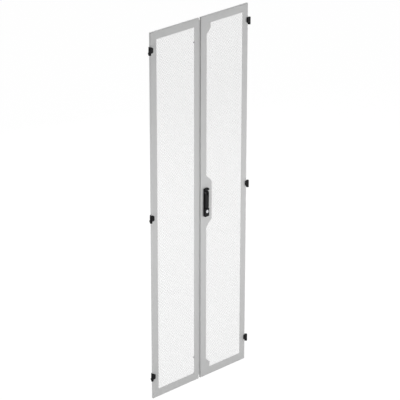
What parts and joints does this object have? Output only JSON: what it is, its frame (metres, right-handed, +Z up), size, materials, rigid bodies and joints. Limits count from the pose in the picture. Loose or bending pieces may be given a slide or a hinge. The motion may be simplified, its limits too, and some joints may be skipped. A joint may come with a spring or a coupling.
{
  "type": "two-leaf perforated rack door",
  "caption": "Vertically divided server rack door: two folded steel leaves with honeycomb-perforated windows, lift-off hinges, swing handle and locking rods.",
  "frame": {"origin": "middle of the seam between the leaves, in the plane of the leaves' front faces, at the bottom edge of the leaves", "axes": "+X to the right along the door's width, +Y from the front face into the rack, +Z up"},
  "size_m": [0.624, 0.0346, 1.84],
  "materials": {
    "painted_sheet": "light grey powder coat, fine texture, satin",
    "perforated_sheet": "light grey powder coat on perforated sheet, satin",
    "hinge_black": "black powder-coated zinc die casting, satin",
    "handle_black": "black glass-filled polyamide, fine grain",
    "zinc_plate": "bright zinc-plated steel and nickel-plated lock parts",
    "steel": "plain machined steel",
    "nylon": "black nylon",
    "rubber": "black rubber"
  },
  "bodies": {
    "rack_side": {"rack_hinge_plates_left": "hinge_black", "rack_hinge_plates_right": "hinge_black", "hinge_pins_left": "steel", "hinge_pins_right": "steel"},
    "left_leaf": {"left_leaf_frame": "painted_sheet", "left_perforated_sheet": "perforated_sheet", "left_hinge_knuckles": "hinge_black", "left_hinge_screws": "zinc_plate", "meeting_strip": "painted_sheet", "left_buffers": "rubber", "left_earth_stud": "steel", "left_earth_nut": "zinc_plate", "upper_bolt_guide": "zinc_plate", "lower_bolt_guide": "zinc_plate"},
    "right_leaf": {"right_leaf_frame": "painted_sheet", "right_perforated_sheet": "perforated_sheet", "right_hinge_knuckles": "hinge_black", "right_hinge_screws": "zinc_plate", "right_buffers": "rubber", "right_earth_stud": "steel", "right_earth_nut": "zinc_plate", "handle_base": "handle_black", "handle_screws": "zinc_plate", "lock_cylinder": "zinc_plate", "gearbox_housing": "zinc_plate", "gearbox_cover": "zinc_plate", "gearbox_screws": "steel", "rod_guides": "nylon", "rod_guide_studs": "steel", "rod_guide_nuts": "zinc_plate"},
    "handle_head": {"turning_head": "handle_black", "drive_pinion": "steel", "spindle_screw": "zinc_plate"},
    "handle_lever": {"swing_lever": "handle_black", "lever_pin": "zinc_plate"},
    "key_plug": {"lock_plug": "zinc_plate", "lock_cam": "steel", "cam_screw": "zinc_plate"},
    "upper_locking_rod": {"upper_rack": "steel", "upper_rod": "zinc_plate", "upper_rod_hook": "nylon"},
    "lower_locking_rod": {"lower_rack": "steel", "lower_rod": "zinc_plate", "lower_rod_hook": "nylon"},
    "upper_bolt": {"upper_slide_bolt": "steel", "upper_bolt_knob": "nylon"},
    "lower_bolt": {"lower_slide_bolt": "steel", "lower_bolt_knob": "nylon"}
  },
  "joints": [
    {"name": "left_leaf_hinge", "type": "hinge", "parent": "rack_side", "child": "left_leaf", "pos_m": [-0.306, -0.002, 0.936], "axis": [0, 0, -1], "range_deg": [0, 130]},
    {"name": "right_leaf_hinge", "type": "hinge", "parent": "rack_side", "child": "right_leaf", "pos_m": [0.306, -0.002, 0.936], "axis": [0, 0, 1], "range_deg": [0, 130]},
    {"name": "handle_turn", "type": "hinge", "parent": "right_leaf", "child": "handle_head", "pos_m": [0.0345, 0, 0.968], "axis": [0, -1, 0], "range_deg": [0, 90]},
    {"name": "lever_swing", "type": "hinge", "parent": "handle_head", "child": "handle_lever", "pos_m": [0.0345, -0.0105, 0.974], "axis": [-1, 0, 0], "range_deg": [0, 70]},
    {"name": "key_turn", "type": "hinge", "parent": "right_leaf", "child": "key_plug", "pos_m": [0.0345, 0, 0.8775], "axis": [0, -1, 0], "range_deg": [0, 90]},
    {"name": "upper_rod_slide", "type": "slide", "parent": "right_leaf", "child": "upper_locking_rod", "axis": [0, 0, -1], "range_m": [0, 0.01257]},
    {"name": "lower_rod_slide", "type": "slide", "parent": "right_leaf", "child": "lower_locking_rod", "axis": [0, 0, 1], "range_m": [0, 0.0126]},
    {"name": "upper_bolt_slide", "type": "slide", "parent": "left_leaf", "child": "upper_bolt", "axis": [0, 0, -1], "range_m": [0, 0.014]},
    {"name": "lower_bolt_slide", "type": "slide", "parent": "left_leaf", "child": "lower_bolt", "axis": [0, 0, 1], "range_m": [0, 0.014]}
  ],
  "couplings": [
    {"joint": "lower_rod_slide", "follows": "upper_rod_slide", "ratio": 1},
    {"joint": "handle_turn", "follows": "upper_rod_slide", "rad_per_m": 125}
  ]
}
